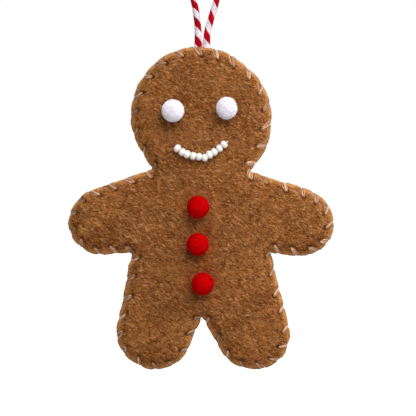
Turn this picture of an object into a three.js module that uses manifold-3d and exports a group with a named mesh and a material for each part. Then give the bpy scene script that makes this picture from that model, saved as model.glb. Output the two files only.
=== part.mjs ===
// Stuffed felt figure ornament: two layers of felt whip-stitched round a thin pad,
// ball eyes and buttons, a beaded mouth and a twine loop that it hangs and swings from.
// Millimetres, +Z up, front towards -Y. The origin is the point that the loop hangs from.
import * as THREE from 'three';
import { mergeGeometries, mergeVertices } from 'three/addons/utils/BufferGeometryUtils.js';
import Module from 'manifold-3d';

const wasm = await Module();
wasm.setup();

// Cut pattern: five round lobes joined by straight cuts that meet in five inner corners
const HEAD_RADIUS = 19.7;
const HAND_RADIUS = 9.25;
const FOOT_RADIUS = 10.45;
const NECK_ANGLE = 47; // degrees below the middle of the head
const NECK_STANDOFF = 0.4; // inner corner outside the head's circle
const CHEST_HALF_WIDTH = 19.45; // middle line to the inner corner under the arm
const ARM_LENGTH = 8.5; // inner corner under the arm to the middle of the hand
const HAND_DROP = 14.65; // neck corner to the middle of the hand
const UNDERARM_RISE = 0.7; // corner under the arm above the lowest point of the hand
const LEG_LENGTH = 22.3; // corner under the arm to the middle of the foot
const FEET_GAP = 6.8; // between the two feet
const CROTCH_RISE = 4.5; // corner between the legs above the middle of the feet
const LEG_SHIFT = 0.9; // the legs are cut a little off the middle line
const CROTCH_SHIFT = 0.35;
const CUT_SKEW = 0.27; // hand-cut: the right side lies lower and the left side higher by this much
const CORNER_RADIUS = 0.9; // scissor round in the inner corners

// Felt layers and the pad between them
const FELT_THICKNESS = 1.5;
const SEAM_GAP = 0.3; // between the layers at their edge
const SWELL = 1.9; // rise of each layer from its edge to its flat middle
const SWELL_MARGIN = 7; // width of the rising border
const SWELL_KNEE = 4.3; // where the border turns from steep to gentle
const KNEE_SHARE = 0.82; // of the rise reached at the knee
const EDGE_ROUND = 0.45; // worn round of the cut edge
const PAD_GAP = 0.3; // between the pad and each layer

// Whip stitch
const HEAD_STITCHES = 17;
const ARM_STITCHES = 11;
const LEG_STITCHES = 12;
const STITCH_INSET = 3.1; // needle holes in from the edge
const FLOSS_HALF_WIDTH = 0.65; // stranded floss lies flat
const FLOSS_HALF_THICKNESS = 0.4;
const FLOSS_LIFT = 0.2; // floss clear of the felt it lies on
const EDGE_DENT = 0.9; // depth that each stitch pulls the edge in
const NEEDLE_CLEARANCE = 0.3;
const CORNER_STITCH = 1; // first and last hole of each lobe, along the edge from its inner corner

// Felt balls and the glue under them
const BALL_RADIUS = 3.1;
const BALL_FLAT = 0.35; // pressed flat where it is glued
const GLUE_RADIUS = 1.6;
const GLUE_THICKNESS = 0.4;
const GLUE_GAP = 0.1;
const EYE_SPREAD = 7.45;
const EYE_SHIFT = -0.3;
const EYE_RISE = 1.9; // above the middle of the head
const EYE_TILT = 0.35; // the right eye sits higher and the left one lower by this much
const BUTTON_DROPS = [10.4, 20.7, 31.65]; // below the neck corners
const BUTTON_STAGGER = [-0.75, -0.85, 0.5]; // sideways from the middle line

// Beaded mouth
const BEAD_COUNT = 10;
const BEAD_RADIUS = 1.1;
const BEAD_LENGTH = 1.3;
const BEAD_BORE_RADIUS = 0.5;
const BEAD_GAP = 0.35; // between neighbours along the thread
const BEAD_LIFT = 0.2; // beads clear of the felt
const MOUTH_RADIUS = 8.5;
const MOUTH_DROP = 2.65; // middle of the head to the centre of the smile's arc
const MOUTH_SHIFT = -0.4;
const MOUTH_TILT = 4.4; // degrees, right end higher
const MOUTH_THREAD_RADIUS = 0.2;
const MOUTH_KNOT_RADIUS = 0.5;
const THREAD_CLEARANCE = 0.3;
const THREAD_EXIT = 0.75; // last bead to the hole that its thread goes down

// Twine loop, its sewn-in ends and their knot
const TWINE_RADIUS = 0.95;
const LOOP_SHIFT = 0.45; // middle of the loop from the middle of the head
const TWINE_SPACING = 2.4; // between the two strands at the seam
const TAIL_SPREAD = 3.9; // between them where a stitch passes through
const TWINE_CLEARANCE = 0.3;
const PIVOT_RISE = 1.35; // bend of the twine above the edge of the felt
const KNOT_DROP = 11; // knot below the edge
const KNOT_HALF_WIDTH = 2.2;
const KNOT_HALF_DEPTH = 1.6;
// Route of the free loop as it hangs: sideways from the loop's middle and up from its bend
const LOOP_ROUTE = [
  [-1.2, 0], [-1.25, 3.2], [-1.5, 6.4], [-1.95, 9.4], [-2.6, 12.6], [-3.55, 17], [-4.4, 22],
  [-5, 28], [-5.15, 35], [-5, 42], [-4.75, 48.5], [-4.55, 53.5], [-4.4, 57], [-3.81, 59.2],
  [-2.2, 60.81], [0, 61.4], [2.2, 60.81], [3.81, 59.2], [4.4, 57], [4.65, 53.5], [5.15, 48.5],
  [5.7, 42], [6.15, 35], [6.25, 28], [5.9, 22], [5.2, 17], [4.3, 12.6], [3.5, 9.4], [2.7, 6.4],
  [1.85, 3.2], [1.2, 0],
];

// Heights, measured from the top of the head until the figure is hung in its place
const headMiddle = -HEAD_RADIUS;
const neckReach = HEAD_RADIUS + NECK_STANDOFF;
const neckAngle = THREE.MathUtils.degToRad(NECK_ANGLE);
const neckHeight = headMiddle - neckReach * Math.sin(neckAngle);
const handHeight = neckHeight - HAND_DROP;
const armpitHeight = handHeight - HAND_RADIUS + UNDERARM_RISE;
const footHeight = armpitHeight - LEG_LENGTH;
const footSpread = FOOT_RADIUS + FEET_GAP / 2;

// Lobes clockwise in front view from the head, each with the inner corner that comes before it
const handReach = CHEST_HALF_WIDTH + ARM_LENGTH;
const neckWidth = neckReach * Math.cos(neckAngle);
const lobeAt = (x, z, radius, stitches) => ({ middle: new THREE.Vector2(x, z), radius, stitches });
const lobes = [
  lobeAt(0, headMiddle, HEAD_RADIUS, HEAD_STITCHES),
  lobeAt(handReach, handHeight - CUT_SKEW, HAND_RADIUS, ARM_STITCHES),
  lobeAt(LEG_SHIFT + footSpread, footHeight - CUT_SKEW, FOOT_RADIUS, LEG_STITCHES),
  lobeAt(LEG_SHIFT - footSpread, footHeight + CUT_SKEW, FOOT_RADIUS, LEG_STITCHES),
  lobeAt(-handReach, handHeight + CUT_SKEW, HAND_RADIUS, ARM_STITCHES),
];
const corners = [
  new THREE.Vector2(-neckWidth, neckHeight + CUT_SKEW),
  new THREE.Vector2(neckWidth, neckHeight - CUT_SKEW),
  new THREE.Vector2(CHEST_HALF_WIDTH, armpitHeight),
  new THREE.Vector2(CROTCH_SHIFT, footHeight + CROTCH_RISE),
  new THREE.Vector2(-CHEST_HALF_WIDTH, armpitHeight),
];

// Point where the straight cut from a corner touches a lobe; side +1 arrives at it, -1 leaves it
function tangentPoint(corner, lobe, side) {
  const toMiddle = lobe.middle.clone().sub(corner);
  const reach = toMiddle.length();
  const angle = toMiddle.angle() + side * Math.asin(lobe.radius / reach);
  const length = Math.sqrt(reach * reach - lobe.radius * lobe.radius);
  return corner.clone().add(new THREE.Vector2(Math.cos(angle), Math.sin(angle)).multiplyScalar(length));
}

function angleAbout(middle, point) {
  return Math.atan2(point.y - middle.y, point.x - middle.x);
}

// Closed outline of arcs and the straight cuts between them, clockwise in front view
const outline = new THREE.Path();
lobes.forEach((lobe, index) => {
  const corner = corners[index];
  const before = lobes[(index + lobes.length - 1) % lobes.length];
  const arrival = tangentPoint(corner, lobe, 1);
  const incoming = corner.clone().sub(tangentPoint(corner, before, -1)).normalize();
  const outgoing = arrival.clone().sub(corner).normalize();
  const turn = Math.acos(incoming.dot(outgoing));
  const setback = CORNER_RADIUS * Math.tan(turn / 2);
  const start = corner.clone().addScaledVector(incoming, -setback);
  const end = corner.clone().addScaledVector(outgoing, setback);
  const pivot = start.clone().add(new THREE.Vector2(-incoming.y, incoming.x).multiplyScalar(CORNER_RADIUS));
  outline.absarc(pivot.x, pivot.y, CORNER_RADIUS, angleAbout(pivot, start), angleAbout(pivot, end), false);
  const departure = tangentPoint(corners[(index + 1) % corners.length], lobe, -1);
  const [first, last] = [arrival, departure].map((point) => angleAbout(lobe.middle, point));
  outline.absarc(lobe.middle.x, lobe.middle.y, lobe.radius, first, last, true);
});
outline.closePath();
const outlineLength = outline.getLength();

// Place on the felt: along the outline, in from the edge, and front to back
function onFelt(along, inset, depth) {
  const step = 0.02;
  const at = (distance) => outline.getPoint(((distance / outlineLength) % 1 + 1) % 1);
  const point = at(along);
  const travel = at(along + step).sub(at(along - step)).normalize();
  return new THREE.Vector3(point.x + travel.y * inset, depth, point.y - travel.x * inset);
}

// Points along the outline: lobes every few degrees, corners in three steps, cuts in short lengths
const outlineStations = [];
const cornerStarts = [];
let travelled = 0;
outline.curves.forEach((curve) => {
  const length = curve.getLength();
  let pieces = Math.ceil(length / 12);
  if (curve.isEllipseCurve && curve.aClockwise) {
    pieces = Math.ceil(length / Math.max(3.2, curve.xRadius * 0.22));
  }
  if (curve.isEllipseCurve && !curve.aClockwise) {
    pieces = 3;
    cornerStarts.push(travelled + length / 2);
  }
  for (let piece = 0; piece < pieces; piece += 1) {
    outlineStations.push(travelled + (length * piece) / pieces);
  }
  travelled += length;
});

// Needle holes, evenly spaced from one inner corner to the next
const holeStations = [];
lobes.forEach((lobe, index) => {
  const start = cornerStarts[index];
  const end = index + 1 < lobes.length ? cornerStarts[index + 1] : cornerStarts[0] + outlineLength;
  const pitch = (end - start - 2 * CORNER_STITCH) / (lobe.stitches - 1);
  for (let stitch = 0; stitch < lobe.stitches; stitch += 1) {
    holeStations.push(start + CORNER_STITCH + stitch * pitch);
  }
});

// Height of the inner face of a layer above the seam plane, by distance from the edge
function innerFace(inset) {
  const kneeHeight = SWELL * KNEE_SHARE;
  const border = Math.min(inset, SWELL_KNEE) / SWELL_KNEE;
  const top = THREE.MathUtils.clamp((inset - SWELL_KNEE) / (SWELL_MARGIN - SWELL_KNEE), 0, 1);
  return SEAM_GAP / 2 + kneeHeight * border + (SWELL - kneeHeight) * top;
}
const outerFace = (inset) => innerFace(inset) + FELT_THICKNESS;
const faceHeight = outerFace(SWELL_MARGIN);

function solidOf(geometry) {
  const bare = geometry.clone();
  bare.deleteAttribute('normal');
  bare.deleteAttribute('uv');
  const merged = mergeVertices(bare, 1e-4);
  const vertProperties = new Float32Array(merged.attributes.position.array);
  const triVerts = new Uint32Array(merged.index.array);
  return new wasm.Manifold(new wasm.Mesh({ numProp: 3, vertProperties, triVerts }));
}

function geometryOf(solid) {
  const mesh = solid.getMesh();
  const geometry = new THREE.BufferGeometry();
  geometry.setAttribute('position', new THREE.BufferAttribute(mesh.vertProperties, 3));
  geometry.setIndex(new THREE.BufferAttribute(mesh.triVerts, 1));
  geometry.computeVertexNormals();
  return geometry;
}

function geometryFrom(points, faces) {
  const geometry = new THREE.BufferGeometry().setFromPoints(points);
  geometry.setIndex(faces);
  geometry.computeVertexNormals();
  return geometry;
}

// Faces between two neighbouring rings of equal count
function bandFaces(first, second, count) {
  const faces = [];
  for (let k = 0; k < count; k += 1) {
    const next = (k + 1) % count;
    faces.push(first + k, first + next, second + next, first + k, second + next, second + k);
  }
  return faces;
}

// Closed skin over rings that follow the outline, front to back, flat at both ends
function loft(sections) {
  const ringAt = (inset, depth) => outlineStations.map((along) => onFelt(along, inset, depth));
  const rings = sections.map(([inset, depth]) => ringAt(inset, depth));
  const count = outlineStations.length;
  const faces = [];
  rings.slice(1).forEach((ring, index) => {
    faces.push(...bandFaces(index * count, (index + 1) * count, count));
  });
  [0, rings.length - 1].forEach((ringIndex) => {
    const flat = rings[ringIndex].map((point) => new THREE.Vector2(point.x, point.z));
    const side = ringIndex === 0 ? 1 : -1;
    THREE.ShapeUtils.triangulateShape(flat, []).forEach(([a, b, c]) => {
      const facing = THREE.ShapeUtils.area([flat[a], flat[b], flat[c]]) * side > 0;
      const triangle = facing ? [a, b, c] : [a, c, b];
      faces.push(...triangle.map((corner) => corner + ringIndex * count));
    });
  });
  return geometryFrom(rings.flat(), faces);
}

// Strand through the given points, closed at both ends; its width lies along the given directions
function strand(points, halfWidth, halfThickness, sides, widthways = []) {
  const rings = [];
  let side = new THREE.Vector3(1, 0, 0);
  points.forEach((point, index) => {
    const before = points[Math.max(index - 1, 0)];
    const after = points[Math.min(index + 1, points.length - 1)];
    const arriving = point.clone().sub(before).normalize();
    const tangent = after.clone().sub(point).normalize().add(arriving).normalize();
    side = (widthways[index] ?? side).clone();
    side.addScaledVector(tangent, -side.dot(tangent)).normalize();
    const other = tangent.clone().cross(side);
    for (let k = 0; k < sides; k += 1) {
      const turn = (2 * Math.PI * k) / sides;
      const across = point.clone().addScaledVector(side, halfWidth * Math.cos(turn));
      rings.push(across.addScaledVector(other, halfThickness * Math.sin(turn)));
    }
  });
  const faces = [];
  const last = (points.length - 1) * sides;
  for (let ring = 0; ring < points.length - 1; ring += 1) {
    faces.push(...bandFaces(ring * sides, (ring + 1) * sides, sides));
  }
  for (let k = 1; k < sides - 1; k += 1) {
    faces.push(0, k + 1, k, last, last + k, last + k + 1);
  }
  return geometryFrom(rings, faces);
}

// Tube of an even polygon section along a smooth curve
function tube(points, radius, sides, steps) {
  const rim = [];
  for (let k = 0; k < sides; k += 1) {
    const turn = (2 * Math.PI * k) / sides;
    rim.push(new THREE.Vector2(radius * Math.cos(turn), radius * Math.sin(turn)));
  }
  const section = new THREE.Shape(rim);
  const extrudePath = new THREE.CatmullRomCurve3(points, false, 'centripetal');
  return new THREE.ExtrudeGeometry(section, { steps, extrudePath });
}

function material(color, roughness) {
  return new THREE.MeshStandardMaterial({ color, roughness, metalness: 0 });
}

const ornament = new THREE.Group();
function addPiece(name, geometry, color, roughness) {
  const mesh = new THREE.Mesh(geometry, material(color, roughness));
  mesh.name = name;
  ornament.add(mesh);
  return mesh;
}

// Sewn-in ends of the twine: they part round one stitch and meet in a knot inside the head
const loopRise = Math.sqrt(HEAD_RADIUS ** 2 - LOOP_SHIFT ** 2);
const loopSeat = new THREE.Vector3(LOOP_SHIFT, 0, headMiddle + loopRise);
const pivotHeight = loopSeat.z + PIVOT_RISE;
const tailTop = pivotHeight - TWINE_RADIUS - TWINE_CLEARANCE;
const middleHole = onFelt(holeStations[Math.floor(HEAD_STITCHES / 2)], STITCH_INSET, 0);
const partedAside = middleHole.x - loopSeat.x;
function tailPoints(side) {
  return [
    [side * TWINE_SPACING / 2, tailTop - loopSeat.z],
    [side * TWINE_SPACING / 2, -0.4],
    [partedAside + side * TAIL_SPREAD / 2, -STITCH_INSET],
    [partedAside + side * TAIL_SPREAD / 2, -STITCH_INSET - 1.5],
    [side * (TWINE_RADIUS + 0.1), 1.5 - KNOT_DROP],
    [side * TWINE_RADIUS, -KNOT_DROP],
  ].map(([sideways, up]) => new THREE.Vector3(loopSeat.x + sideways, 0, loopSeat.z + up));
}
const tails = [-1, 1].map((side) => tailPoints(side));
const knot = new THREE.SphereGeometry(1, 10, 8);
knot.scale(KNOT_HALF_WIDTH, KNOT_HALF_DEPTH, KNOT_HALF_WIDTH * 0.85);
knot.translate(loopSeat.x, 0, loopSeat.z - KNOT_DROP);
const tailBodies = tails.map((points) => solidOf(strand(points, TWINE_RADIUS, TWINE_RADIUS, 8)));
const anchor = solidOf(knot).add(tailBodies[0]).add(tailBodies[1]);

// Each stitch: out of its front hole, over the edge, and in at the back of the hole before it
const lastHole = holeStations.length - 1;
const stitches = holeStations.map((from, index) => {
  const to = index > 0 ? holeStations[index - 1] : holeStations[lastHole] - outlineLength;
  return { from, to, over: (from + to) / 2 };
});
function travelAt(along) {
  return onFelt(along + 0.1, 0, 0).sub(onFelt(along - 0.1, 0, 0)).normalize();
}

// Four-sided cutter through both layers, lying along the edge
function stitchCut(along, inset, halfWidth, halfDepth) {
  const travel = travelAt(along);
  const place = onFelt(along, inset, 0);
  const cut = new THREE.CylinderGeometry(1, 1, 4 * faceHeight, 4).scale(halfDepth, 1, halfWidth);
  return cut.rotateY(Math.atan2(travel.x, travel.z)).translate(place.x, 0, place.z);
}

// Needle holes, and the dents where the stitches pull the edge in
const needleRoom = 2 * NEEDLE_CLEARANCE;
const cutHalfWidth = FLOSS_HALF_WIDTH + needleRoom;
const stitchCuts = stitches.flatMap(({ from, over }) => [
  stitchCut(from, STITCH_INSET, cutHalfWidth, FLOSS_HALF_THICKNESS + needleRoom),
  stitchCut(over, 0, cutHalfWidth, EDGE_DENT),
]);
const stitchCutter = solidOf(mergeGeometries(stitchCuts));

// The twine's way through the seam, and the holes for the mouth's thread
const channels = tails.map((points) => {
  const raised = [points[0].clone().setZ(points[0].z + 2 * FELT_THICKNESS), ...points.slice(1)];
  const size = TWINE_RADIUS + TWINE_CLEARANCE;
  return solidOf(strand(raised, size, size, 8));
});
const seamCutter = channels[0].add(channels[1]);

const mouthMiddle = new THREE.Vector3(MOUTH_SHIFT, 0, headMiddle - MOUTH_DROP);
const beadPitch = BEAD_LENGTH + BEAD_GAP;
const beadDepth = -(faceHeight + BEAD_LIFT + BEAD_RADIUS);
function onMouth(distance, depth) {
  const angle = THREE.MathUtils.degToRad(MOUTH_TILT - 90) + distance / MOUTH_RADIUS;
  const along = new THREE.Vector3(Math.cos(angle), 0, Math.sin(angle)).multiplyScalar(MOUTH_RADIUS);
  return mouthMiddle.clone().add(along).setY(depth);
}
const mouthHalf = ((BEAD_COUNT - 1) * beadPitch) / 2;
const mouthExit = mouthHalf + BEAD_LENGTH / 2 + THREAD_EXIT;
const knotDepth = -(innerFace(SWELL_MARGIN) - MOUTH_KNOT_RADIUS - PAD_GAP);
const threadHoles = [-mouthExit, mouthExit].map((distance) => {
  const size = MOUTH_THREAD_RADIUS + THREAD_CLEARANCE;
  const place = onMouth(distance, -faceHeight);
  return new THREE.CylinderGeometry(size, size, faceHeight, 6).translate(place.x, place.y, place.z);
});

// The two felt layers
const frontSections = [
  [SWELL_MARGIN, -faceHeight],
  [SWELL_KNEE, -outerFace(SWELL_KNEE)],
  [EDGE_ROUND, -outerFace(EDGE_ROUND)],
  [0, -innerFace(0) - FELT_THICKNESS + EDGE_ROUND],
  [0, -innerFace(0)],
  [SWELL_KNEE, -innerFace(SWELL_KNEE)],
  [SWELL_MARGIN, -innerFace(SWELL_MARGIN)],
];
const backSections = frontSections.map(([inset, depth]) => [inset, -depth]).reverse();
const feltColor = 0x8a5a33;
const frontLayer = solidOf(loft(frontSections)).subtract(stitchCutter).subtract(seamCutter);
const frontPanel = frontLayer.subtract(solidOf(mergeGeometries(threadHoles)));
addPiece('front_panel', geometryOf(frontPanel), feltColor, 0.95);
const backPanel = solidOf(loft(backSections)).subtract(stitchCutter).subtract(seamCutter);
addPiece('back_panel', geometryOf(backPanel), feltColor, 0.95);

// Pad between the layers, inside the stitches, with room for the twine's knot and the mouth's knots
const padMargin = STITCH_INSET + FLOSS_HALF_WIDTH + NEEDLE_CLEARANCE;
const padHeight = (inset) => innerFace(inset) - PAD_GAP;
const padSections = [
  [SWELL_MARGIN, -padHeight(SWELL_MARGIN)],
  [padMargin + 0.8, -padHeight(padMargin + 0.8)],
  [padMargin, -padHeight(padMargin) / 2],
  [padMargin, padHeight(padMargin) / 2],
  [padMargin + 0.8, padHeight(padMargin + 0.8)],
  [SWELL_MARGIN, padHeight(SWELL_MARGIN)],
];
const tailReach = Math.abs(partedAside) + TAIL_SPREAD / 2 + TWINE_RADIUS;
const slotHalf = Math.max(KNOT_HALF_WIDTH, tailReach) + PAD_GAP;
const slotDepth = KNOT_DROP + KNOT_HALF_WIDTH + PAD_GAP;
const slot = new THREE.BoxGeometry(2 * slotHalf, 4 * faceHeight, slotDepth);
slot.translate(loopSeat.x, 0, loopSeat.z - slotDepth / 2);
const knotPockets = [-mouthExit, mouthExit].map((distance) => {
  const size = MOUTH_KNOT_RADIUS + PAD_GAP;
  const place = onMouth(distance, knotDepth + size - faceHeight);
  return new THREE.CylinderGeometry(size, size, 2 * faceHeight, 8).translate(place.x, place.y, place.z);
});
const padCutter = solidOf(slot).add(solidOf(mergeGeometries(knotPockets)));
const pad = solidOf(loft(padSections)).subtract(padCutter);
addPiece('stuffing', geometryOf(pad), 0xf2efe6, 1);

// One length of floss sewn all the way round, ending inside the hole that it starts from
const standOff = FLOSS_HALF_THICKNESS + FLOSS_LIFT;
const bendInset = STITCH_INSET - standOff * 0.6;
const underDepth = outerFace(STITCH_INSET) - FELT_THICKNESS * 0.4;
const edgeHeight = outerFace(EDGE_DENT);
const sewnRun = stitches.toReversed().flatMap(({ from, to, over }) => {
  const lean = (from - to) * 0.07;
  return [
    [from, STITCH_INSET, -underDepth],
    [from - lean, bendInset, -outerFace(bendInset) - standOff],
    [over, EDGE_DENT / 2, -edgeHeight - standOff * 1.25],
    [over, EDGE_DENT - standOff - FLOSS_LIFT / 2, -edgeHeight * 0.5],
    [over, EDGE_DENT - standOff - FLOSS_LIFT / 2, edgeHeight * 0.5],
    [over, EDGE_DENT / 2, edgeHeight + standOff * 1.25],
    [to + lean, bendInset, outerFace(bendInset) + standOff],
    [to, STITCH_INSET, underDepth],
  ];
});
const flossPoints = sewnRun.map(([along, inset, depth]) => onFelt(along, inset, depth));
const flossWidths = sewnRun.map(([along]) => travelAt(along));
const floss = strand(flossPoints, FLOSS_HALF_WIDTH, FLOSS_HALF_THICKNESS, 4, flossWidths);
addPiece('edge_stitching', floss, 0xc9987a, 0.7);

// Felt balls, flattened on their glue, with the glue's dots
const ballBase = Math.sqrt(BALL_RADIUS ** 2 - (BALL_RADIUS - BALL_FLAT) ** 2);
const ballStart = Math.asin(ballBase / BALL_RADIUS);
const ballProfile = [new THREE.Vector2(0, 0)];
for (let k = 0; k <= 7; k += 1) {
  const angle = ballStart + ((Math.PI - ballStart) * k) / 7;
  const across = k === 7 ? 0 : BALL_RADIUS * Math.sin(angle);
  ballProfile.push(new THREE.Vector2(across, BALL_RADIUS - BALL_FLAT - BALL_RADIUS * Math.cos(angle)));
}
const glueProfile = [
  new THREE.Vector2(0, 0),
  new THREE.Vector2(GLUE_RADIUS, 0),
  new THREE.Vector2(GLUE_RADIUS * 0.85, GLUE_THICKNESS),
  new THREE.Vector2(0, GLUE_THICKNESS),
];
const eyeHeight = headMiddle + EYE_RISE;
const eyeColor = 0xf6f3f4;
function buttonAt(index) {
  return { x: BUTTON_STAGGER[index], z: neckHeight - BUTTON_DROPS[index], color: 0xc8141f };
}
const balls = [
  { name: 'eye_left', x: EYE_SHIFT - EYE_SPREAD, z: eyeHeight - EYE_TILT, color: eyeColor },
  { name: 'eye_right', x: EYE_SHIFT + EYE_SPREAD, z: eyeHeight + EYE_TILT, color: eyeColor },
  { name: 'button_top', ...buttonAt(0) },
  { name: 'button_middle', ...buttonAt(1) },
  { name: 'button_bottom', ...buttonAt(2) },
];
balls.forEach(({ name, x, z, color }) => {
  const glue = addPiece(`glue_${name}`, new THREE.LatheGeometry(glueProfile, 10), 0xe4ddc8, 0.4);
  glue.rotation.x = Math.PI;
  glue.position.set(x, -faceHeight - GLUE_GAP, z);
  const ball = addPiece(name, new THREE.LatheGeometry(ballProfile, 12), color, 0.9);
  ball.rotation.x = Math.PI;
  ball.position.set(x, -faceHeight - 2 * GLUE_GAP - GLUE_THICKNESS, z);
});

// Seed beads on their thread, which goes down through the front layer at both ends of the smile
const beadProfile = [
  [BEAD_BORE_RADIUS, -0.36], [0.74 * BEAD_RADIUS, -0.5], [0.95 * BEAD_RADIUS, -0.32], [BEAD_RADIUS, 0],
  [0.95 * BEAD_RADIUS, 0.32], [0.74 * BEAD_RADIUS, 0.5], [BEAD_BORE_RADIUS, 0.36], [BEAD_BORE_RADIUS, -0.36],
].map(([across, along]) => new THREE.Vector2(across, along * BEAD_LENGTH));
for (let bead = 0; bead < BEAD_COUNT; bead += 1) {
  const distance = bead * beadPitch - mouthHalf;
  const name = `mouth_bead_${String(bead + 1).padStart(2, '0')}`;
  const mesh = addPiece(name, new THREE.LatheGeometry(beadProfile, 8), 0xf4f2ea, 0.25);
  mesh.position.copy(onMouth(distance, beadDepth));
  const travel = onMouth(distance + 0.1, 0).sub(onMouth(distance - 0.1, 0)).normalize();
  mesh.quaternion.setFromUnitVectors(new THREE.Vector3(0, 1, 0), travel);
}
const threadRun = [];
for (let step = -8; step <= 8; step += 1) {
  threadRun.push(onMouth(((mouthHalf + BEAD_LENGTH / 2) * step) / 8, beadDepth));
}
const threadPoints = [
  onMouth(-mouthExit, knotDepth),
  onMouth(-mouthExit, -faceHeight - 0.3),
  ...threadRun,
  onMouth(mouthExit, -faceHeight - 0.3),
  onMouth(mouthExit, knotDepth),
];
const threadKnots = [-mouthExit, mouthExit].map((distance) => {
  const place = onMouth(distance, knotDepth);
  return new THREE.SphereGeometry(MOUTH_KNOT_RADIUS, 8, 6).translate(place.x, place.y, place.z);
});
const threadBody = solidOf(strand(threadPoints, MOUTH_THREAD_RADIUS, MOUTH_THREAD_RADIUS, 6));
const mouthThread = threadBody.add(solidOf(mergeGeometries(threadKnots)));
addPiece('mouth_thread', geometryOf(mouthThread), 0xf4f2ea, 0.6);

// Twine: the ends held in the head, and the free loop that turns on the seam with rounded ends
addPiece('loop_anchor', geometryOf(anchor), 0xd8a0a4, 0.8);
const loopPoints = LOOP_ROUTE.map(([sideways, up]) => {
  return new THREE.Vector3(loopSeat.x + sideways, 0, pivotHeight + up);
});
const loopTube = solidOf(tube(loopPoints, TWINE_RADIUS, 8, 48));
const loopEnds = [loopPoints[0], loopPoints[loopPoints.length - 1]].map((place) => {
  return new THREE.SphereGeometry(TWINE_RADIUS, 8, 6).translate(place.x, place.y, place.z);
});
const loopBody = loopTube.add(solidOf(mergeGeometries(loopEnds)));
addPiece('hanging_loop', geometryOf(loopBody), 0xd8a0a4, 0.8);

// The inner side of the loop's top bend comes to the origin
const loopTop = Math.max(...loopPoints.map((point) => point.z)) - TWINE_RADIUS;
ornament.children.forEach((piece) => piece.position.sub(new THREE.Vector3(loopSeat.x, 0, loopTop)));

export default ornament;
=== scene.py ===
import cmath
import math

import bmesh
import bpy
import numpy as np
from mathutils import Matrix, Vector, noise
from mathutils.bvhtree import BVHTree
from mathutils.kdtree import KDTree


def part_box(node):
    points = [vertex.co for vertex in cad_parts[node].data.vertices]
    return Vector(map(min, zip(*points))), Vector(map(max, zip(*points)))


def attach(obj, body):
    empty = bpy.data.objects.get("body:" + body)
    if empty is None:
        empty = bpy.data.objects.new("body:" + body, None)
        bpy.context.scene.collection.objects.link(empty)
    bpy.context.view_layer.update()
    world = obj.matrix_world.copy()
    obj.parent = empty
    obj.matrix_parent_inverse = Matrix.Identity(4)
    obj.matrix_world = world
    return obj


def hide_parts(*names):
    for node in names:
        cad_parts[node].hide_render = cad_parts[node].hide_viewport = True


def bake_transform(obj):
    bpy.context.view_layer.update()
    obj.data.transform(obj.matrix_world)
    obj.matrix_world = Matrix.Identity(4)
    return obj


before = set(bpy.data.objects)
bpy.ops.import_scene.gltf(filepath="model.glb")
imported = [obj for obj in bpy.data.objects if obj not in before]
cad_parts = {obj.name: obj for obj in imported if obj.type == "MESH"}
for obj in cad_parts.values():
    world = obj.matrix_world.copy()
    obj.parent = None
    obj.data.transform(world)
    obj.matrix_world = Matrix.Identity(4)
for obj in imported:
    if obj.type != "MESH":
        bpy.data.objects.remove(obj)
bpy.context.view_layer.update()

# Camera: a long lens, square on to the front of the figure and level with its chest, so that
# the felt fills the frame and the loop leaves it at the top.
camera = bpy.data.objects.new("camera", bpy.data.cameras.new("camera"))
camera.data.lens = 150
camera.data.sensor_width = 36
camera.location = (0.00154, -0.4862, -0.10683)
camera.rotation_euler = (math.pi / 2, 0, 0)
bpy.context.collection.objects.link(camera)
scene = bpy.context.scene
scene.camera = camera
scene.view_settings.view_transform = "Standard"

# Hanging loop: one length of cotton twine, three red yarns and three white ones laid up together.
# It goes up from the seam at the top of the head, over a hook or twig, and down into the seam
# again, which pinches its two legs flat.
TWINE_DIAMETER = 0.0019
TWINE_LAY, STEPS_PER_LAY = 0.0053, 16
FIRST_TWIST = -0.57
YARN_COUNT, YARN_RADIUS = 6, 0.00035
PINCH_REACH, PINCH_WIDER, PINCH_FLATTER = 0.003, 0.3, 0.2
SEAM_BEND = -0.06045
MM = 0.001
# Way across and up from the bend at the seam, in mm
LOOP_ROUTE = [
    (-1.4, -3.6), (-1.25, -1.6), (-1.2, 0), (-1.25, 3.2), (-1.5, 6.4), (-1.95, 9.4),
    (-2.6, 12.6), (-3.55, 17), (-4.4, 22), (-5, 28), (-5.15, 35), (-5, 42), (-4.75, 48.5),
    (-4.55, 53.5), (-4.4, 57), (-3.81, 59.2), (-2.2, 60.81), (0, 61.4), (2.2, 60.81),
    (3.81, 59.2), (4.4, 57), (4.65, 53.5), (5.15, 48.5), (5.7, 42), (6.15, 35), (6.25, 28),
    (5.9, 22), (5.1, 17), (4.1, 12.6), (3.2, 9.4), (2.3, 6.4), (1.45, 3.2), (1.1, 0),
    (1.25, -1.6), (1.4, -3.6),
]


def even_steps(line, spacing):
    """Points at an even spacing along a line."""
    line = np.asarray(line, float)
    run = np.concatenate([[0], np.cumsum(np.linalg.norm(np.diff(line, axis=0), axis=1))])
    stations = np.linspace(0, run[-1], round(run[-1] / spacing) + 1)
    return np.stack([np.interp(stations, run, axis) for axis in line.T], axis=1)


def smooth_line(knots, spacing):
    """Points at an even spacing on a smooth curve through the given ones."""
    knots = np.asarray(knots, float)
    ends = np.vstack([2 * knots[0] - knots[1], knots, 2 * knots[-1] - knots[-2]])
    fine = []
    for a, b, c, d in zip(ends, ends[1:], ends[2:], ends[3:]):
        for t in np.linspace(0, 1, 16, endpoint=False):
            bend = (2 * a - 5 * b + 4 * c - d) * t + (3 * b - a - 3 * c + d) * t * t
            fine.append(b + 0.5 * t * (c - a + bend))
    return even_steps(fine + [knots[-1]], spacing)


def curve_mesh(name, curve):
    """The curve made into a mesh."""
    holder = bpy.data.objects.new(name, curve)
    bpy.context.collection.objects.link(holder)
    shown = holder.evaluated_get(bpy.context.evaluated_depsgraph_get())
    mesh = bpy.data.meshes.new_from_object(shown)
    bpy.data.objects.remove(holder)
    bpy.data.curves.remove(curve)
    return mesh


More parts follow.
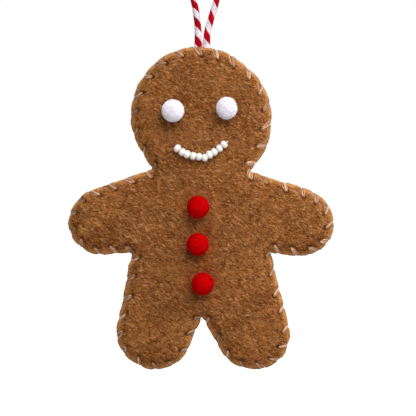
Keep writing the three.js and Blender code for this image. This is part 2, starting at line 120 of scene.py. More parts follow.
def strand_mesh(name, lines, radius, materials, groups=None):
    """Mesh of round strands that follow the given lines."""
    curve = bpy.data.curves.new(name, "CURVE")
    curve.dimensions = "3D"
    curve.bevel_depth = radius
    curve.bevel_resolution = 1
    curve.use_fill_caps = True
    for material in materials:
        curve.materials.append(material)
    for index, line in enumerate(lines):
        spline = curve.splines.new("POLY")
        spline.points.add(len(line) - 1)
        spline.points.foreach_set("co", np.column_stack([line, np.ones(len(line))]).ravel())
        spline.material_index = groups[index] if groups else 0
    return curve_mesh(name, curve)


def add_piece(name, mesh, material=None):
    """A new object at the origin, with its place in its mesh."""
    if material:
        mesh.materials.append(material)
    piece = bpy.data.objects.new(name, mesh)
    bpy.context.collection.objects.link(piece)
    return piece


class Wire:
    """A socket in a material; sums on it add the Math nodes that work them out."""

    def __init__(self, tree, socket=None):
        self.tree, self.socket = tree, socket

    def node(self, kind, settings=None, sockets=None, out=0):
        """A new node: its settings first, then the values or links of its sockets."""
        made = self.tree.nodes.new("ShaderNode" + kind)
        for name, value in (settings or {}).items():
            setattr(made, name, value)
        for name, value in (sockets or {}).items():
            if isinstance(value, Wire):
                self.tree.links.new(value.socket, made.inputs[name])
            else:
                made.inputs[name].default_value = value
        return Wire(self.tree, made.outputs[out] if made.outputs else None)

    def math(self, operation, *terms):
        return self.node("Math", {"operation": operation}, dict(enumerate(terms)))

    def __add__(self, other):
        return self.math("ADD", self, other)

    def __sub__(self, other):
        return self.math("SUBTRACT", self, other)

    def __rsub__(self, other):
        return self.math("SUBTRACT", other, self)

    def __mul__(self, other):
        return self.math("MULTIPLY", self, other)

    __radd__, __rmul__ = __add__, __mul__

    def between(self, low, high):
        """0 below low, 1 above high and smooth in between."""
        sockets = {"Value": self, "From Min": low, "From Max": high}
        return self.node("MapRange", {"interpolation_type": "SMOOTHSTEP"}, sockets)

    def mix(self, first, second):
        """From the first colour at 0 to the second at 1."""
        return self.node("Mix", {"data_type": "RGBA"}, {0: self, 6: first, 7: second}, out=2)


def colour(red, green, blue):
    """A colour as it shows on screen, 0 to 255, in the renderer's linear values."""
    shares = (channel / 255 for channel in (red, green, blue))
    return tuple(
        s / 12.92 if s <= 0.04045 else ((s + 0.055) / 1.055) ** 2.4 for s in shares
    ) + (1,)


def new_material(name):
    """A material with no nodes yet, and a wire to build them with."""
    material = bpy.data.materials.new(name)
    material.use_nodes = True
    material.node_tree.nodes.clear()
    return material, Wire(material.node_tree)


def grain(wire, size, detail=2, stretch=(1, 1, 1), turn=0, warp=0):
    """Noise on the piece's own coordinates, with spots of the given size in metres."""
    place = wire.node("TexCoord", out="Object")
    scale = tuple(1 / (size * s) for s in stretch)
    if turn:
        place = wire.node("Mapping", {}, {"Vector": place, "Rotation": (0, turn, 0)})
    spots = wire.node("Mapping", {}, {"Vector": place, "Scale": scale})
    sockets = {"Vector": spots, "Scale": 1, "Detail": detail, "Distortion": warp}
    return wire.node("TexNoise", {}, sockets)


def finish_material(wire, base, roughness, height=None, depth=0, **constants):
    """Principled surface of one colour and roughness, with the height as its bump."""
    sockets = {"Base Color": base, "Roughness": roughness}
    sockets.update({name.replace("_", " "): value for name, value in constants.items()})
    if height is not None:
        relief = {"Height": height, "Distance": depth, "Strength": 1}
        sockets["Normal"] = wire.node("Bump", {}, relief)
    shader = wire.node("BsdfPrincipled", {}, sockets)
    wire.node("OutputMaterial", {}, {"Surface": shader})


def yarn_material(name, shade, light):
    """Spun cotton, with fine hairs and a little wear."""
    material, wire = new_material(name)
    hairs = grain(wire, 0.00035, 3, stretch=(1, 1, 2.2), turn=0.6)
    worn = grain(wire, 0.004, 1)
    base = (hairs * 0.75 + worn * 0.25).between(0.35, 0.65).mix(shade, light)
    finish_material(wire, base, 0.85, hairs, 0.0002, Specular_IOR_Level=0.05)
    return material


loop_knots = [(x * MM, 0, SEAM_BEND + z * MM) for x, z in LOOP_ROUTE]
twine_line = smooth_line(loop_knots, TWINE_LAY / STEPS_PER_LAY)
along_twine = np.gradient(twine_line, axis=0)
along_twine /= np.linalg.norm(along_twine, axis=1)[:, None]
across_twine = np.cross(along_twine, (0, 1, 0))
twist = np.arange(len(twine_line)) * 2 * math.pi / STEPS_PER_LAY + FIRST_TWIST
pinch = np.exp(-np.maximum(twine_line[:, 2] - SEAM_BEND, 0) / PINCH_REACH)[:, None]
yarns = []
for yarn in range(YARN_COUNT):
    angle = (twist + yarn * 2 * math.pi / YARN_COUNT)[:, None]
    wander = across_twine * np.cos(angle) * (1 + PINCH_WIDER * pinch)
    wander += np.array([[0, 1, 0]]) * np.sin(angle) * (1 - PINCH_FLATTER * pinch)
    yarns.append(twine_line + wander * (TWINE_DIAMETER / 2 - YARN_RADIUS))
red_yarn = yarn_material("red_cotton_yarn", colour(138, 2, 14), colour(200, 8, 28))
white_yarn = yarn_material("white_cotton_yarn", colour(208, 192, 204), colour(246, 239, 244))
twine_yarns = (red_yarn, white_yarn)
loop_mesh = strand_mesh("twine_loop", yarns, YARN_RADIUS, twine_yarns, (0, 0, 0, 1, 1, 1))
twine_loop = add_piece("twine_loop", loop_mesh)
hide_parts("hanging_loop")
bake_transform(twine_loop)

# Sewn-in ends: the two ends of the same twine, which part round a stitch inside the seam and are
# tied in one knot behind the forehead, so that the loop can't pull out.
STRAND_STEP = 0.0004
KNOT_LEVEL, KNOT_REACH = -0.0728, (0.0011, 0.0008, 0.0009)
TAIL_ROUTE = [
    (0.0012, -0.0618), (0.0012, -0.0622), (0.00195, -0.0649), (0.00195, -0.0664),
    (0.00105, -0.0713), (0.00095, KNOT_LEVEL),
]
tail_lines = [
    smooth_line([(side * x, 0, z) for x, z in TAIL_ROUTE], STRAND_STEP) for side in (-1, 1)
]
turns = np.linspace(0, 4 * math.pi, 48)
knot_turns = np.stack([np.cos(turns), np.sin(turns), np.sin(turns / 2)], axis=1)
tail_lines.append(knot_turns * KNOT_REACH + (0, 0, KNOT_LEVEL))
tails_mesh = strand_mesh("twine_tails", tail_lines, TWINE_DIAMETER / 2, twine_yarns, (0, 1, 1))
twine_tails = add_piece("twine_tails", tails_mesh)
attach(twine_tails, "figure")
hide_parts("loop_anchor")

# Front layer: brown wool felt, 1.5 mm thick, cut with scissors to a figure of five round lobes.
# The pad pushes its middle out, and each stitch pulls its edge in and presses a groove into it.
CUT_STEP, ARC_STEPS, ROUNDING_PASSES = 0.0003, 60, 8
CUT_ROUGHNESS = 0.00003
CROWN = complex(-0.00045, -0.061795)
HEAD, HAND, FOOT = 0.0197, 0.00925, 0.01045
# Each lobe's middle and radius, how many stitches it has, and their slack along it
lobes = [
    (CROWN + complex(0, -0.0197), HEAD, 17, (0.3, 1.0, 0.95)),
    (CROWN + complex(0.02795, -0.04932), HAND, 11, (0.85, 1.0, 0.8)),
    (CROWN + complex(0.01475, -0.08017), FOOT, 12, (0.5, 0.75, 0.45)),
    (CROWN + complex(-0.01295, -0.07963), FOOT, 12, (0.45, 0.65, 0.75)),
    (CROWN + complex(-0.02795, -0.04878), HAND, 11, (0.75, 0.5, 1.0)),
]
inner_corners = [CROWN + complex(x, z) for x, z in (
    (-0.01371, -0.03413), (0.01371, -0.03467), (0.01945, -0.0576), (0.00035, -0.0754),
    (-0.01945, -0.0576),
)]
random = np.random.default_rng(7)


def touch(corner, middle, radius, side):
    """Point where the straight cut from an inner corner meets a lobe."""
    reach = middle - corner
    angle = cmath.phase(reach) + side * math.asin(radius / abs(reach))
    return corner + cmath.rect(math.sqrt(abs(reach) ** 2 - radius**2), angle)


cut_line, corner_runs = [], []
next_corners = inner_corners[1:] + inner_corners[:1]
for corner, (middle, radius, _, _), after in zip(inner_corners, lobes, next_corners):
    arrive, leave = touch(corner, middle, radius, 1), touch(after, middle, radius, -1)
    first, last = cmath.phase(arrive - middle), cmath.phase(leave - middle)
    sweep = (first - last) % (2 * math.pi)
    corner_runs.append(len(cut_line))
    cut_line.append(corner)
    cut_line += [
        middle + cmath.rect(radius, first - sweep * k / ARC_STEPS) for k in range(ARC_STEPS + 1)
    ]
cut_line.append(cut_line[0])
cut_flat = np.array([(p.real, p.imag) for p in cut_line])
runs = np.concatenate([[0], np.cumsum(np.linalg.norm(np.diff(cut_flat, axis=0), axis=1))])
corner_runs = [runs[i] for i in corner_runs]
edge = even_steps(cut_flat, CUT_STEP)[:-1] @ np.array([1, 1j])
for _ in range(ROUNDING_PASSES):
    edge = (np.roll(edge, 1) + 2 * edge + np.roll(edge, -1)) / 4
edge_length = runs[-1]
stations = np.arange(len(edge)) * edge_length / len(edge)


def apart(along):
    """Signed way along the edge from a place to every station, the short way round."""
    return (stations - along + edge_length / 2) % edge_length - edge_length / 2


def edge_inward():
    """The way into the felt, square to the edge, at every station."""
    ahead = np.roll(edge, -1) - np.roll(edge, 1)
    return -1j * ahead / abs(ahead)


# Where the scissors wandered off the pattern: way along the cut, out from it and length, in mm
inward = edge_inward()
for along, out, length in [
    (6, -0.55, 5), (36, 0.35, 9), (61, -0.65, 7), (87, 0.35, 6), (110, 0.35, 5), (168, -0.3, 14),
    (189, -0.35, 5), (224, 0.4, 6), (245, 0.3, 8), (298, -0.3, 5),
]:
    edge = edge - inward * out * MM * np.exp(-((apart(along * MM) / (length * MM)) ** 2))
inward = edge_inward()


def on_felt(along, inset):
    """Place in the plane of the seam, a way along the edge and in from it."""
    place = np.interp(along, stations, edge, period=edge_length)
    return place + inset * np.interp(along, stations, inward, period=edge_length)


def ease(slack):
    """Share of the full slant and width that a stitch of this slack keeps."""
    return 0.3 + 0.7 * slack


# Each stitch: where along the edge its hole in the front lies and where it goes over the edge, how
# far in the hole is, how slack it is, and how much wider the felt fans out there, inside a corner
CORNER_ROOM, FAN_STEP = 0.001, 0.0005
STITCH_INSET, STITCH_SLANT = (0.0021, 0.0029), (0.26, 0.54)
stitches = []
lobe_ends = corner_runs[1:] + [edge_length]
for start, end, (_, _, count, slacks) in zip(corner_runs, lobe_ends, lobes):
    pitch = (end - start - 2 * CORNER_ROOM) / (count - 1)
    for k in range(count):
        hole = start + CORNER_ROOM + k * pitch + random.normal(0, 0.0002)
        slack = np.interp(k / (count - 1), (0, 0.5, 1), slacks) + random.normal(0, 0.05)
        depth = (0.5 + 0.5 * slack) * random.uniform(*STITCH_INSET)
        width = abs(on_felt(hole + FAN_STEP, depth) - on_felt(hole - FAN_STEP, depth))
        fan = max(width / (2 * FAN_STEP), 1)
        over = hole - ease(slack) / fan * pitch * random.uniform(*STITCH_SLANT)
        stitches.append((hole, over, depth, slack, fan))
# On the back, a stitch goes down the hole before its own
back_legs = []
for index, (_, over, _, slack, _) in enumerate(stitches):
    hole, _, depth, _, fan = stitches[index - 1]
    back_legs.append((hole - edge_length if index == 0 else hole, over, depth, slack, fan))

DENT_WIDTH, DENT_REACH = 0.0007, 0.0016
GROOVE_DEPTH, GROOVE_WIDTH, GROOVE_END = 0.00035, 0.0008, 0.0006
PIT_DEPTH, PIT_WIDTH, PIT_LENGTH, PIT_PAST = 0.0010, 0.0006, 0.0005, 0.0001


def edge_pull(slack):
    """How far a stitch draws the edge in, a tight one the most."""
    return 0.00024 * (2.2 - 1.2 * slack)


edge_dents = np.max([
    edge_pull(slack) * np.exp(-((apart(over) / DENT_WIDTH) ** 2))
    for _, over, _, slack, _ in stitches
], axis=0)

# The inner and the outer face of a layer: way in from the edge, and height over the seam's plane
LINING = [(0.0077, 0.00205), (0.0043, 0.0016), (0.0014, 0.0003), (0.0001, 0.00003)]
PILLOW = [
    (0, 0.00055), (0.00012, 0.0010), (0.0004, 0.00145), (0.0009, 0.00194), (0.0015, 0.00242),
    (0.00185, 0.00264), (0.0022, 0.00284), (0.00255, 0.00299), (0.0029, 0.00311),
    (0.0033, 0.0032), (0.0037, 0.00327), (0.0046, 0.00336), (0.0056, 0.00343), (0.0066, 0.00349),
    (0.0077, 0.00353),
]


def pillow(inset):
    """Height of the felt's outer face over the plane of the seam."""
    return np.interp(inset, *zip(*PILLOW))


def lofted(name, rings):
    """Closed skin over rings of equal count."""
    bm = bmesh.new()
    loops = []
    for ring in rings:
        verts = [bm.verts.new(point) for point in ring]
        loops.append([bm.edges.new(pair) for pair in zip(verts, verts[1:] + verts[:1])])
    for first, second in zip(loops, loops[1:]):
        bmesh.ops.bridge_loops(bm, edges=first + second)
    bmesh.ops.edgeloop_fill(bm, edges=loops[0])
    bmesh.ops.edgeloop_fill(bm, edges=loops[-1])
    bmesh.ops.recalc_face_normals(bm, faces=bm.faces)
    for face in bm.faces:
        face.smooth = True
    mesh = bpy.data.meshes.new(name)
    bm.to_mesh(mesh)
    bm.free()
    return mesh


def felt_mesh(name, side, legs):
    """One layer of felt, its outer face towards side, pushed in by the stitches' legs on it, with
    painted shade in the grooves and pits they make.
    """
    rough = np.tile(random.normal(0, 1, len(edge)), 3)
    cut = np.convolve(rough, np.hanning(24), "same")[len(edge):2 * len(edge)]
    rings, painted_groove_shade = [], []
    for inset, height in LINING + PILLOW:
        uneven = math.exp(-inset / DENT_REACH) * (edge_dents + CUT_ROUGHNESS * cut)
        plan = edge + inward * (inset + uneven)
        grooves = dimples = np.zeros(len(edge))
        if len(rings) >= len(LINING):
            for hole, over, depth, slack, fan in legs:
                way = apart(over + (hole - over) * min(inset / depth, 1)) * fan / GROOVE_WIDTH
                past = max(inset - depth, 0) / GROOVE_END
                grooves = np.maximum(grooves, (1.9 - slack) * np.exp(-(way**2) - past**2))
                aside = apart(hole) * fan / PIT_WIDTH
                past = (inset - depth - PIT_PAST) / PIT_LENGTH
                dimples = np.maximum(dimples, (0.45 + 0.2 * slack) * np.exp(-(aside**2 + past**2)))
        heights = height - GROOVE_DEPTH * grooves - PIT_DEPTH * dimples
        rings.append(np.stack([plan.real, side * heights, plan.imag], axis=1))
        # Painted shade: how far the felt is darkened in each groove and pit
        painted_groove_shade.append(np.clip(0.65 * grooves + 0.7 * dimples, 0, 1))
    mesh = lofted(name, rings)
    painted_shade_mask = mesh.attributes.new("painted_groove_shade", "FLOAT", "POINT")
    painted_shade_mask.data.foreach_set("value", np.concatenate(painted_groove_shade))
    return mesh


def hair_lines(piece, count, length, lift, favour, lay=(0, 0, 0)):
    """Short bent hairs that lie on a piece, more of them along lay.

    favour weighs the faces by their normals.
    """
    mesh = piece.data
    mesh.calc_loop_triangles()
    corners = np.array([[mesh.vertices[v].co for v in t.vertices] for t in mesh.loop_triangles])
    spans = np.cross(corners[:, 1] - corners[:, 0], corners[:, 2] - corners[:, 0])
    areas = np.linalg.norm(spans, axis=1)
    normals = spans / np.maximum(areas, 1e-12)[:, None]
    areas = areas * favour(normals)
    picks = random.choice(len(areas), count, p=areas / areas.sum())
    roots = np.einsum("ij,ijk->ik", random.dirichlet((1, 1, 1), count), corners[picks])
    up = normals[picks]
    way = random.normal(0, 1, (count, 3)) + random.choice((-1, 1), (count, 1)) * np.array(lay)
    way -= up * (way * up).sum(axis=1)[:, None]
    way /= np.linalg.norm(way, axis=1)[:, None]
    turn = np.cross(up, way) * random.normal(0, 0.7, (count, 1))
    reach = length * random.lognormal(0, 0.35, (count, 1))
    rise = lift * random.exponential(1, count)
    surface = BVHTree.FromObject(piece, bpy.context.evaluated_depsgraph_get())
    lines = []
    for share, height in ((0, -0.4), (0.35, 0.7), (0.7, 1.0), (1, 0.9)):
        points = roots + (way * share + turn * share**2) * reach
        feet = [surface.find_nearest(point)[:2] for point in points]
        lines.append([foot + normal * (r * height) for (foot, normal), r in zip(feet, rise)])
    return np.array(lines).transpose(1, 0, 2)


def hair_mesh(name, lines, radius):
    """Three-sided hairs along the lines, thinner towards their ends."""
    section = bpy.data.curves.new("hair_section", "CURVE")
    ring = section.splines.new("POLY")
    ring.points.add(2)
    for point, angle in zip(ring.points, (0, 2.1, 4.2)):
        point.co = (radius * math.cos(angle), radius * math.sin(angle), 0, 1)
    ring.use_cyclic_u = True
    section_holder = bpy.data.objects.new("hair_section", section)
    bpy.context.collection.objects.link(section_holder)
    curve = bpy.data.curves.new(name, "CURVE")
    curve.dimensions = "3D"
    curve.bevel_mode = "OBJECT"
    curve.bevel_object = section_holder
    for line in lines:
        spline = curve.splines.new("POLY")
        spline.points.add(len(line) - 1)
        spline.points.foreach_set("co", np.column_stack([line, np.ones(len(line))]).ravel())
        spline.points.foreach_set("radius", (0.6, 1, 0.9, 0.3))
    mesh = curve_mesh(name, curve)
    bpy.data.objects.remove(section_holder)
    return mesh


def felt_lay(wire, spot, turns):
    """Height, pale flecks and dark flecks of matted wool, whose fibres run mostly along turns."""
    runs = [grain(wire, spot, 2, stretch=(4.5, 1.6, 1), turn=turn, warp=0.8) for turn in turns]
    top = wire.math("MAXIMUM", wire.math("MAXIMUM", runs[0], runs[1]), runs[2])
    low = wire.math("MINIMUM", wire.math("MINIMUM", runs[0], runs[1]), runs[2])
    return top, top.between(0.52, 0.76), low.between(0.46, 0.24)


brown_felt, wire = new_material("brown_wool_felt")
height, pale, deep = felt_lay(wire, 0.00036, (-0.9, -0.46, 0.0))
clouds = grain(wire, 0.009, 3).between(0.3, 0.7)
ground = clouds.mix(colour(147, 88, 41), colour(118, 64, 21))
place = wire.node("TexCoord", out="Object")
off_seam = wire.math("ABSOLUTE", wire.node("SeparateXYZ", {}, {0: place}, out=1))
# Painted highlight: the felt turns lighter and more orange towards the cut edge all round, with
# paler flecks and fewer dark ones. This is partly the cut's own paler fibres and partly light
# caught by the rounded border.
cut_edge_and_highlight = off_seam.between(0.0026, 0.0012)
ground = (cut_edge_and_highlight * 0.8).mix(ground, colour(206, 144, 84))
pale_fleck = cut_edge_and_highlight.mix(colour(202, 150, 100), colour(222, 166, 114))
flecked = (pale * 0.8).mix(ground, pale_fleck)
flecked = (deep * (0.9 - cut_edge_and_highlight * 0.4)).mix(flecked, colour(72, 24, 0))
# Red tint round the buttons, in patches: partly painted reflection of red light from the buttons,
# partly red fluff that they have shed
near_button = None
for node in ("button_top", "button_middle", "button_bottom"):
    low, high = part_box(node)
    ends = {0: place, 1: (low + high) / 2}
    away = wire.node("VectorMath", {"operation": "DISTANCE"}, ends, out="Value")
    near_button = wire.math("MINIMUM", near_button, away) if near_button else away
red_bounce_and_fluff = near_button.between(0.0085, 0.0042) * grain(wire, 0.0025, 2).between(0.35, 0.65)
flecked = (red_bounce_and_fluff * 0.55).mix(flecked, colour(142, 40, 20))
# Painted shade: the felt is darkened to deep brown in the stitches' grooves and pits
painted_shade_mask = wire.node("Attribute", {"attribute_name": "painted_groove_shade"}, out="Fac")
felt_base = (painted_shade_mask * 0.8).mix(flecked, colour(70, 24, 4))
finish_material(wire, felt_base, 0.95, height, 0.0003, Specular_IOR_Level=0)

brown_hair, wire = new_material("brown_wool_hair")
strand_tone = wire.node("NewGeometry", out="Random Per Island")
fine = grain(wire, 0.0004, 1)
tone = (strand_tone * 0.8 + fine * 0.4 - 0.1).between(0, 1)
hair_base = tone.mix(colour(98, 48, 9), colour(180, 126, 78))
finish_material(wire, hair_base, 0.9, fine, 0.0001, Specular_IOR_Level=0)

FELT_LAY = (1.6, 0, -0.8)
HAIR_LENGTH, HAIR_LIFT, HAIR_RADIUS = 0.0012, 0.00007, 0.00006


def add_felt(name, side, legs, hair_count):
    """One layer of felt with its hairs, most of them on the flat of its outer face."""
    layer = add_piece(name, felt_mesh(name, side, legs), brown_felt)
    lines = hair_lines(
        layer, hair_count, HAIR_LENGTH, HAIR_LIFT,
        lambda normal: np.clip(8 * side * normal[:, 1] - 6.2, 0.25, 1), FELT_LAY,
    )
    hairs = add_piece(name + "_hairs", hair_mesh(name + "_hairs", lines, HAIR_RADIUS), brown_hair)
    for piece in (layer, hairs):
        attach(piece, "figure")
    return layer, hairs


front_felt, front_hairs = add_felt("front_felt", -1, stitches, hair_count=9000)
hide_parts("front_panel")

# Back layer: the same cut in the same felt, laid behind the pad with its edge on the front layer's.
# It is plain, with only the backs of the stitches on it.
back_felt, back_hairs = add_felt("back_felt", 1, back_legs, hair_count=8000)
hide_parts("back_panel")

# Stuffing: a thin pad of white polyester fibre between the layers, inside the line of stitches.
# It is what swells the figure, and none of it shows once the seam is sewn.
PAD_HALF = [(0.0042, 0.0004), (0.0048, 0.0011), (0.0060, 0.0015), (0.0078, 0.00172)]
pad_rings = []
for inset, height in [(inset, -height) for inset, height in PAD_HALF[::-1]] + PAD_HALF:
    plan = (edge + inward * inset)[::4]
    pad_rings.append(np.stack([plan.real, np.full(len(plan), height), plan.imag], axis=1))
pad_material, wire = new_material("white_polyester_fibre")
wisps = grain(wire, 0.0008, 4, stretch=(3, 1, 1), warp=1.5)
pad_base = wisps.between(0.3, 0.7).mix(colour(214, 210, 200), colour(246, 243, 236))
finish_material(wire, pad_base, 0.95, wisps, 0.0006, Sheen_Weight=0.4)
stuffing_pad = add_piece("stuffing_pad", lofted("stuffing_pad", pad_rings), pad_material)
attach(stuffing_pad, "figure")
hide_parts("stuffing")

# Whip stitch: one length of pinkish tan embroidery floss, five strands lying side by side, sewn
# over the edge all the way round. Each stitch comes up through its hole in the front layer, goes
# over the edge and goes down through the hole before it in the back layer.
FLOSS_STRANDS, FLOSS_RADIUS = 5, 0.00014
FLOSS_SPREAD, FLOSS_CROWN, FLOSS_DIVE = 0.00044, 0.00022, 0.0008
FLOSS_END = 0.0014
EDGE_TURN = 0.0004
LEG_SHARES = (1, 0.92, 0.75, 0.5, 0.25, 0.06)
floss_lines = []
for front_leg, back_leg in zip(stitches, back_legs):
    hole, over, depth, slack, fan = front_leg
    back_hole, _, back_depth, _, _ = back_leg
    run = [(hole, depth + PIT_PAST, -FLOSS_END, 1)]
    for r in LEG_SHARES:
        run.append((over + (hole - over) * r, depth * r, -pillow(depth * r), r))
    for r in LEG_SHARES[::-1]:
        run.append((over + (back_hole - over) * r, back_depth * r, pillow(back_depth * r), r))
    run.append((back_hole, back_depth + PIT_PAST, FLOSS_END, 1))
    turn = random.normal(0, 0.3)
    for strand in range(FLOSS_STRANDS):
        offset = strand - (FLOSS_STRANDS - 1) / 2 + random.normal(0, 0.2)
        knots = []
        for along, inset, height, r in run:
            aside = FLOSS_SPREAD * ease(slack) * (1 - 0.75 * r**3) * offset / fan
            proud = FLOSS_CROWN * math.cos(0.6 * offset + turn) * (1 - r**4) - FLOSS_DIVE * r**8
            sunk = (1 - slack) * (0.0012 - 0.0007 * r)
            at_edge = math.exp(-inset / EDGE_TURN)
            dent = edge_pull(slack) * math.exp(-inset / DENT_REACH) - proud * at_edge
            place = on_felt(along + aside, inset + dent)
            rise = (proud - sunk) * (1 - at_edge)
            knots.append((place.real, height + math.copysign(1, height) * rise, place.imag))
        floss_lines.append(smooth_line(knots, STRAND_STEP))
floss_material, wire = new_material("tan_cotton_floss")
spun = grain(wire, 0.0002, 2, stretch=(1, 1, 3), turn=0.8)
strand_tone = wire.node("NewGeometry", out="Random Per Island")
floss_tone = (spun * 0.5 + strand_tone * 0.6 - 0.05).between(0, 1)
floss_base = floss_tone.mix(colour(124, 76, 46), colour(248, 202, 164))
# Painted shade: floss that lies below the felt's outer face is darkened towards deep brown
painted_depth_shade = wire.node("Attribute", {"attribute_name": "painted_depth_shade"}, out="Fac").between(-0.0001, 0.0007)
floss_base = (painted_depth_shade * 0.85).mix(floss_base, colour(100, 58, 32))
finish_material(wire, floss_base, 0.6, spun, 0.0001, Specular_IOR_Level=0.03)
floss_mesh = strand_mesh("edge_floss", floss_lines, FLOSS_RADIUS, [floss_material])
# How deep each point of the floss lies under the felt's outer face, where painted shade darkens it
seam = KDTree(len(edge))
for index, place in enumerate(edge):
    seam.insert((place.real, 0, place.imag), index)
seam.balance()
depths = []
for vert in floss_mesh.vertices:
    nearest = seam.find((vert.co.x, 0, vert.co.z))[1]
    off_edge = complex(vert.co.x, vert.co.z) - edge[nearest]
    inset = (off_edge * inward[nearest].conjugate()).real
    inset -= edge_dents[nearest] * math.exp(-max(inset, 0) / DENT_REACH)
    depths.append(pillow(inset) - abs(vert.co.y) if inset > 0 else 0)
floss_mesh.attributes.new("painted_depth_shade", "FLOAT", "POINT").data.foreach_set("value", depths)
floss = add_piece("edge_floss", floss_mesh)
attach(floss, "figure")
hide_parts("edge_stitching")

# Eyes and buttons: balls of white or red wool felt, about 6 mm across, rolled wet and pressed flat
# at the back, where a dot of clear glue holds each one on the front layer.
BALL_RADIUS = 0.0031


def ball_mesh(name, node, narrow):
    """A slightly lumpy ball in the place of its solid, made narrower by a share."""
    low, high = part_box(node)
    middle = Vector(((low.x + high.x) / 2, low.y + BALL_RADIUS, (low.z + high.z) / 2))
    place = Matrix.Translation(middle)
    bm = bmesh.new()
    bmesh.ops.create_icosphere(bm, subdivisions=5, radius=BALL_RADIUS, matrix=place)
    for vert in bm.verts:
        out = (vert.co - middle).normalized()
        lumps = 0.00003 * noise.noise(vert.co * 900) + 0.00002 * noise.noise(vert.co * 2600)
        vert.co += out * lumps
        vert.co.x += (vert.co.x - middle.x) * (narrow - 1)
        vert.co.y = min(vert.co.y, high.y)
    for face in bm.faces:
        face.smooth = True
    mesh = bpy.data.meshes.new(name)
    bm.to_mesh(mesh)
    bm.free()
    return mesh


def ball_material(name, deep_tone, tone, pale_tone, **fuzz):
    """Wool rolled into felt, its fibres lying every way."""
    material, wire = new_material(name)
    height, pale, deep = felt_lay(wire, 0.00026, (0.5, 1.5, 2.6))
    base = (deep * 0.6).mix((pale * 0.6).mix(tone, pale_tone), deep_tone)
    finish_material(wire, base, 0.95, height, 0.00006, Specular_IOR_Level=0, **fuzz)
    return material


white_wool = ball_material(
    "white_wool_felt", colour(237, 231, 240), colour(243, 238, 246), colour(247, 243, 250),
    Diffuse_Roughness=1, Sheen_Weight=0.6,
)
red_wool = ball_material(
    "red_wool_felt", colour(172, 2, 4), colour(191, 3, 6), colour(201, 6, 8),
)
balls = [
    ("eye_left", white_wool, 0.99), ("eye_right", white_wool, 0.93),
    ("button_top", red_wool, 0.98), ("button_middle", red_wool, 0.97),
    ("button_bottom", red_wool, 0.98),
]
for node, wool, narrow in balls:
    ball = add_piece(node + "_ball", ball_mesh(node + "_ball", node, narrow), wool)
    lines = hair_lines(
        ball, count=900, length=0.0007, lift=0.00004, favour=lambda normal: normal[:, 1] < 0.9,
    )
    hairs = add_piece(node + "_hairs", hair_mesh(node + "_hairs", lines, 0.00003), wool)
    for piece in (ball, hairs):
        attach(piece, "figure")
    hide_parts(node)

# Glue: a small dot of clear craft glue under each ball, gone slightly yellow. It is squeezed flat
# between the ball and the front layer, so that hardly any of it shows.
glue_material, wire = new_material("craft_glue")
ripple = grain(wire, 0.0009, 1)
glue_base = ripple.between(0.3, 0.7).mix(colour(206, 196, 168), colour(232, 226, 206))
finish_material(wire, glue_base, 0.25, ripple, 0.0002)
for node, _, _ in balls:
    glue_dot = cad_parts["glue_" + node]
    glue_dot.data.materials.clear()
    glue_dot.data.materials.append(glue_material)

# Mouth: ten white glass seed beads, round-shouldered rings cut from drawn glass tube. They are
# strung on a thread in the shape of a smile and lie edge to edge on the front layer.
BEAD_COUNT = 10
BEAD_RADIUS, BEAD_BORE, BEAD_LENGTH = 0.00115, 0.00025, 0.0018
# How far each bead strays from the even line, sideways and up, in mm
bead_strays = [
    (-0.05, -0.15), (0.05, -0.15), (-0.05, 0.05), (0.05, 0.05), (0.05, 0.05),
    (0, -0.35), (-0.25, 0.05), (-0.4, 0.05), (-0.3, 0.05), (-0.1, -0.1),
]
bead_material, wire = new_material("white_seed_bead")
milky = grain(wire, 0.0007, 1)
bead_base = milky.between(0.35, 0.65).mix(colour(232, 227, 215), colour(246, 242, 235))
bead_gloss = milky * 0.12 + 0.2
finish_material(wire, bead_base, bead_gloss, Coat_Weight=0.3, Coat_Roughness=0.1, IOR=1.52)
bead_names = [f"{bead:02d}" for bead in range(1, BEAD_COUNT + 1)]
bead_middles = []
for number in bead_names:
    low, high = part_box("mouth_bead_" + number)
    bead_middles.append((low + high) / 2)
bead_run = np.linalg.norm(np.diff(bead_middles, axis=0), axis=1).sum()
even_middles = even_steps(bead_middles, bead_run / (BEAD_COUNT - 1))
bead_middles = [
    Vector(point) + Vector((x, 0, z)) * MM for point, (x, z) in zip(even_middles, bead_strays)
]
bulge = np.linspace(-1.25, 1.25, 13)
shell = [(BEAD_RADIUS * math.cos(a) ** 0.65, BEAD_LENGTH / 2 * math.sin(a)) for a in bulge]
bore = [(BEAD_BORE, shell[-3][1]), (BEAD_BORE, shell[2][1])]
for bead, (number, middle) in enumerate(zip(bead_names, bead_middles)):
    before = bead_middles[max(bead - 1, 0)]
    after = bead_middles[min(bead + 1, BEAD_COUNT - 1)]
    along = (after - before).normalized()
    bm = bmesh.new()
    wall = [bm.verts.new((r, 0, z)) for r, z in shell + bore]
    for pair in zip(wall, wall[1:] + wall[:1]):
        bm.edges.new(pair)
    bmesh.ops.spin(
        bm, geom=bm.verts[:] + bm.edges[:], axis=(0, 0, 1), cent=(0, 0, 0), angle=2 * math.pi,
        steps=24, use_merge=True,
    )
    tilt = Vector([random.normal(0, 0.06) for _ in range(3)])
    turn = Vector((0, 0, 1)).rotation_difference((along + tilt).normalized()).to_matrix().to_4x4()
    size = random.uniform(0.96, 1.03)
    place = Matrix.Translation(middle) @ turn @ Matrix.Scale(size, 4)
    bmesh.ops.transform(bm, matrix=place, verts=bm.verts)
    bmesh.ops.remove_doubles(bm, verts=bm.verts, dist=1e-7)
    bmesh.ops.recalc_face_normals(bm, faces=bm.faces)
    for face in bm.faces:
        face.smooth = True
    mesh = bpy.data.meshes.new("seed_bead_" + number)
    bm.to_mesh(mesh)
    bm.free()
    piece = add_piece("seed_bead_" + number, mesh, bead_material)
    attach(piece, "figure")
    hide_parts("mouth_bead_" + number)

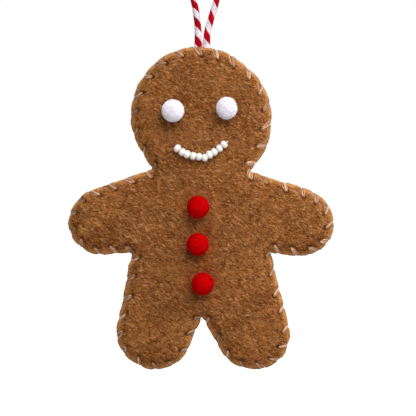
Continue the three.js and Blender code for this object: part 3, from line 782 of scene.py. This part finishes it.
# Mouth thread: white cotton sewing thread through the beads, which goes down through the front
# layer past each end of the smile and is knotted inside.
THREAD_RADIUS, THREAD_STEP = 0.0002, 0.0003
first_bead, last_bead = bead_middles[0], bead_middles[-1]
first_way = (first_bead - bead_middles[1]).normalized()
last_way = (last_bead - bead_middles[-2]).normalized()
into_felt = Vector((0, 1, 0))
thread_run = [
    first_bead + first_way * 0.0010 + into_felt * 0.0030,
    first_bead + first_way * 0.0008 + into_felt * 0.0010,
    first_bead + first_way * 0.0004,
    *bead_middles,
    last_bead + last_way * 0.0009,
    last_bead + last_way * 0.0014 + into_felt * 0.0012,
    last_bead + last_way * 0.0015 + into_felt * 0.0030,
]
thread_line = smooth_line([tuple(point) for point in thread_run], THREAD_STEP)
thread_mesh = strand_mesh("beading_thread", [thread_line], THREAD_RADIUS, [white_yarn])
beading_thread = add_piece("beading_thread", thread_mesh)
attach(beading_thread, "figure")
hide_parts("mouth_thread")

# Studio: a plain white floor well below the hanging figure and a white surround, with one soft
# lamp above the front, a weaker one at the right and one behind.
FLOOR_LEVEL, FLOOR_HALF = -0.2, 4
SURROUND_LIGHT = 0.25
LAMP_TARGET = Vector((0, 0, -0.1))


def seen_rays(wire):
    """1 for what is seen straight, in a mirror or through glass, 0 for what lights things."""
    kinds = ("Camera", "Glossy", "Transmission")
    rays = [wire.node("LightPath", out=f"Is {kind} Ray") for kind in kinds]
    return wire.math("MAXIMUM", wire.math("MAXIMUM", rays[0], rays[1]), rays[2])


floor_material, wire = new_material("white_floor")
matte = wire.node("BsdfDiffuse", {}, {"Color": (0.42, 0.42, 0.42, 1)})
place = wire.node("TexCoord", out="Object")
away = wire.node("VectorMath", {"operation": "LENGTH"}, {0: place}, out="Value")
floor_white = away.between(0.25, 0.6) * 0.25 + 0.74
glow = {"Color": (1, 1, 1, 1), "Strength": seen_rays(wire) * floor_white}
lit = wire.node("Emission", {}, glow)
wire.node("OutputMaterial", {}, {"Surface": wire.node("AddShader", {}, {0: matte, 1: lit})})
bm = bmesh.new()
floor_place = Matrix.Translation((0, 0, FLOOR_LEVEL))
bmesh.ops.create_grid(bm, x_segments=1, y_segments=1, size=FLOOR_HALF, matrix=floor_place)
floor_mesh = bpy.data.meshes.new("floor")
bm.to_mesh(floor_mesh)
bm.free()
add_piece("floor", floor_mesh, floor_material)

world = bpy.data.worlds.new("studio")
world.use_nodes = True
world.node_tree.nodes.clear()
wire = Wire(world.node_tree)
level = seen_rays(wire) * (1 - SURROUND_LIGHT) + SURROUND_LIGHT
surround = wire.node("Background", {}, {"Color": (1, 1, 1, 1), "Strength": level})
wire.node("OutputWorld", {}, {"Surface": surround})
scene.world = world
for name, place, size, power in [
    ("key_lamp", (0.14, -0.52, 0.26), 0.4, 3.45), ("side_lamp", (0.50, -0.22, 0.35), 0.3, 2.4),
    ("back_lamp", (-0.3, 0.5, 0.35), 0.4, 5.0),
]:
    lamp = bpy.data.lights.new(name, "AREA")
    lamp.size, lamp.energy = size, power
    holder = bpy.data.objects.new(name, lamp)
    holder.location = place
    holder.rotation_euler = (LAMP_TARGET - Vector(place)).to_track_quat("-Z", "Y").to_euler()
    bpy.context.collection.objects.link(holder)
